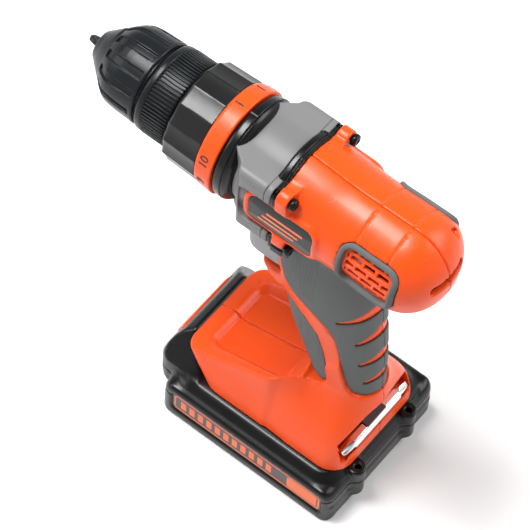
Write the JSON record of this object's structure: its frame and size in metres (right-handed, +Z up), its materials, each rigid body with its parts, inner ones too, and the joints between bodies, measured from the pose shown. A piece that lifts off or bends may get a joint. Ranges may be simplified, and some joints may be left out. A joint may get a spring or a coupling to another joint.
{
  "type": "cordless drill driver",
  "caption": "Pistol-grip cordless drill driver with keyless chuck, torque collar, planetary gearcase, rubber grip and slide-on battery.",
  "frame": {"origin": "bottom centre of the bounding box, on the plane of the battery's base and under the spindle axis", "axes": "-X along the spindle out of the chuck, +Z up, +Y to the right when looking from behind the drill towards the chuck"},
  "size_m": [0.2028, 0.0846, 0.2184],
  "materials": {
    "orange_shell": "moulded, fine satin gloss",
    "grey_gearcase": "glass-filled nylon, satin",
    "black_plastic": "moulded, satin",
    "battery_plastic": "moulded, semi-gloss",
    "chuck_plastic": "moulded, satin",
    "grip_rubber": "matte overmould",
    "screw_steel": "black oxide",
    "bright_steel": "polished",
    "machined_steel": "turned",
    "plated_can": "zinc plated",
    "ferrite": "sintered",
    "copper": "bare contact metal",
    "trigger_grey": "moulded, satin",
    "cell_wrap": "shrink wrap",
    "circuit_board": "solder mask",
    "label_panel": "printed film"
  },
  "bodies": {
    "housing": {"housing_left": "orange_shell", "housing_right": "orange_shell", "gearcase": "grey_gearcase", "index_ring": "black_plastic", "gearcase_gasket": "black_plastic", "nameplate_left": "black_plastic", "nameplate_right": "black_plastic", "vent_ring_left": "grip_rubber", "vent_ring_right": "grip_rubber", "vent_grille_left": "orange_shell", "vent_grille_right": "orange_shell", "grip_rubber_left": "grip_rubber", "grip_rubber_right": "grip_rubber", "front_grip_left": "grip_rubber", "front_grip_right": "grip_rubber", "gearcase_screws": "screw_steel", "case_screws": "screw_steel", "spindle_bearing": "machined_steel", "ring_gears": "machined_steel", "gearbox_plate": "machined_steel", "motor_can": "plated_can", "motor_magnets": "ferrite", "motor_end_bell": "black_plastic", "switch_body": "black_plastic", "terminal_block": "black_plastic", "terminal_blades": "copper", "bit_clip": "black_plastic", "clutch_washer": "bright_steel", "clutch_spring": "bright_steel"},
    "output": {"spindle": "machined_steel", "chuck_body": "machined_steel", "chuck_screw": "screw_steel", "chuck_rear_sleeve": "chuck_plastic"},
    "chuck_sleeve": {"chuck_front_sleeve": "chuck_plastic", "chuck_nut": "bright_steel"},
    "jaw_1": {"chuck_jaw_1": "bright_steel"},
    "jaw_2": {"chuck_jaw_2": "bright_steel"},
    "jaw_3": {"chuck_jaw_3": "bright_steel"},
    "driver_bit": {"driver_bit": "bright_steel"},
    "output_planet_1": {"output_planet_1": "machined_steel"},
    "output_planet_2": {"output_planet_2": "machined_steel"},
    "output_planet_3": {"output_planet_3": "machined_steel"},
    "carrier": {"carrier": "machined_steel"},
    "input_planet_1": {"input_planet_1": "machined_steel"},
    "input_planet_2": {"input_planet_2": "machined_steel"},
    "input_planet_3": {"input_planet_3": "machined_steel"},
    "rotor": {"rotor": "machined_steel", "commutator": "copper"},
    "torque_collar": {"torque_collar": "black_plastic", "torque_band": "orange_shell"},
    "clutch_nut": {"clutch_nut": "bright_steel"},
    "trigger": {"trigger": "trigger_grey"},
    "direction_slider": {"direction_slider": "black_plastic"},
    "battery": {"battery_lower_case": "battery_plastic", "battery_upper_case": "battery_plastic", "battery_cells": "cell_wrap", "battery_board": "circuit_board", "battery_labels": "label_panel"},
    "release_button": {"release_button": "orange_shell"},
    "stored_bit": {"stored_bit": "bright_steel"}
  },
  "joints": [
    {"name": "spindle_spin", "type": "hinge", "parent": "housing", "child": "output", "pos_m": [0, 0, 0.1915], "axis": [1, 0, 0], "continuous": true},
    {"name": "chuck_sleeve_turn", "type": "hinge", "parent": "output", "child": "chuck_sleeve", "pos_m": [-0.08, 0, 0.1915], "axis": [1, 0, 0], "range_deg": [0, 1080]},
    {"name": "jaw_1_slide", "type": "slide", "parent": "output", "child": "jaw_1", "axis": [0.9659, 0, 0.2588], "range_m": [0, 0.006]},
    {"name": "jaw_2_slide", "type": "slide", "parent": "output", "child": "jaw_2", "axis": [0.9659, -0.2241, -0.1294], "range_m": [0, 0.006]},
    {"name": "jaw_3_slide", "type": "slide", "parent": "output", "child": "jaw_3", "axis": [0.9659, 0.2241, -0.1294], "range_m": [0, 0.006]},
    {"name": "driver_bit_pull", "type": "slide", "parent": "output", "child": "driver_bit", "axis": [-1, 0, 0], "range_m": [0, 0.028]},
    {"name": "carrier_spin", "type": "hinge", "parent": "housing", "child": "carrier", "pos_m": [0, 0, 0.1915], "axis": [1, 0, 0], "continuous": true},
    {"name": "rotor_spin", "type": "hinge", "parent": "housing", "child": "rotor", "pos_m": [0.03, 0, 0.1915], "axis": [1, 0, 0], "continuous": true},
    {"name": "output_planet_1_spin", "type": "hinge", "parent": "output", "child": "output_planet_1", "pos_m": [-0.002, 0, 0.202], "axis": [1, 0, 0], "continuous": true},
    {"name": "output_planet_2_spin", "type": "hinge", "parent": "output", "child": "output_planet_2", "pos_m": [-0.002, -0.00909, 0.18625], "axis": [1, 0, 0], "continuous": true},
    {"name": "output_planet_3_spin", "type": "hinge", "parent": "output", "child": "output_planet_3", "pos_m": [-0.002, 0.00909, 0.18625], "axis": [1, 0, 0], "continuous": true},
    {"name": "input_planet_1_spin", "type": "hinge", "parent": "carrier", "child": "input_planet_1", "pos_m": [0.0082, 0, 0.202], "axis": [1, 0, 0], "continuous": true},
    {"name": "input_planet_2_spin", "type": "hinge", "parent": "carrier", "child": "input_planet_2", "pos_m": [0.0082, -0.00909, 0.18625], "axis": [1, 0, 0], "continuous": true},
    {"name": "input_planet_3_spin", "type": "hinge", "parent": "carrier", "child": "input_planet_3", "pos_m": [0.0082, 0.00909, 0.18625], "axis": [1, 0, 0], "continuous": true},
    {"name": "torque_collar_turn", "type": "hinge", "parent": "housing", "child": "torque_collar", "pos_m": [-0.025, 0, 0.1915], "axis": [1, 0, 0], "range_deg": [-345, 0]},
    {"name": "clutch_nut_slide", "type": "slide", "parent": "housing", "child": "clutch_nut", "axis": [1, 0, 0], "range_m": [-0.0031, 0], "deforming": ["clutch_spring"]},
    {"name": "trigger_pull", "type": "slide", "parent": "housing", "child": "trigger", "axis": [1, 0, 0], "range_m": [0, 0.007], "stiffness_N_per_m": 600, "springref_m": -0.004},
    {"name": "direction_shift", "type": "slide", "parent": "housing", "child": "direction_slider", "axis": [0, 1, 0], "range_m": [-0.004, 0.004]},
    {"name": "battery_slide", "type": "slide", "parent": "housing", "child": "battery", "axis": [-1, 0, 0], "range_m": [0, 0.1]},
    {"name": "release_press", "type": "slide", "parent": "battery", "child": "release_button", "axis": [1, 0, 0], "range_m": [0, 0.003], "stiffness_N_per_m": 800, "springref_m": -0.003},
    {"name": "stored_bit_pull", "type": "slide", "parent": "housing", "child": "stored_bit", "axis": [1, 0, 0], "range_m": [0, 0.014]}
  ],
  "couplings": [
    {"joint": "jaw_1_slide", "follows": "chuck_sleeve_turn", "m_per_rad": 0.00031831},
    {"joint": "jaw_2_slide", "follows": "chuck_sleeve_turn", "m_per_rad": 0.00031831},
    {"joint": "jaw_3_slide", "follows": "chuck_sleeve_turn", "m_per_rad": 0.00031831},
    {"joint": "carrier_spin", "follows": "spindle_spin", "ratio": 5},
    {"joint": "rotor_spin", "follows": "spindle_spin", "ratio": 25},
    {"joint": "output_planet_1_spin", "follows": "spindle_spin", "ratio": -2.6667},
    {"joint": "output_planet_2_spin", "follows": "spindle_spin", "ratio": -2.6667},
    {"joint": "output_planet_3_spin", "follows": "spindle_spin", "ratio": -2.6667},
    {"joint": "input_planet_1_spin", "follows": "spindle_spin", "ratio": -13.333},
    {"joint": "input_planet_2_spin", "follows": "spindle_spin", "ratio": -13.333},
    {"joint": "input_planet_3_spin", "follows": "spindle_spin", "ratio": -13.333},
    {"joint": "clutch_nut_slide", "follows": "torque_collar_turn", "m_per_rad": 0.0005}
  ]
}
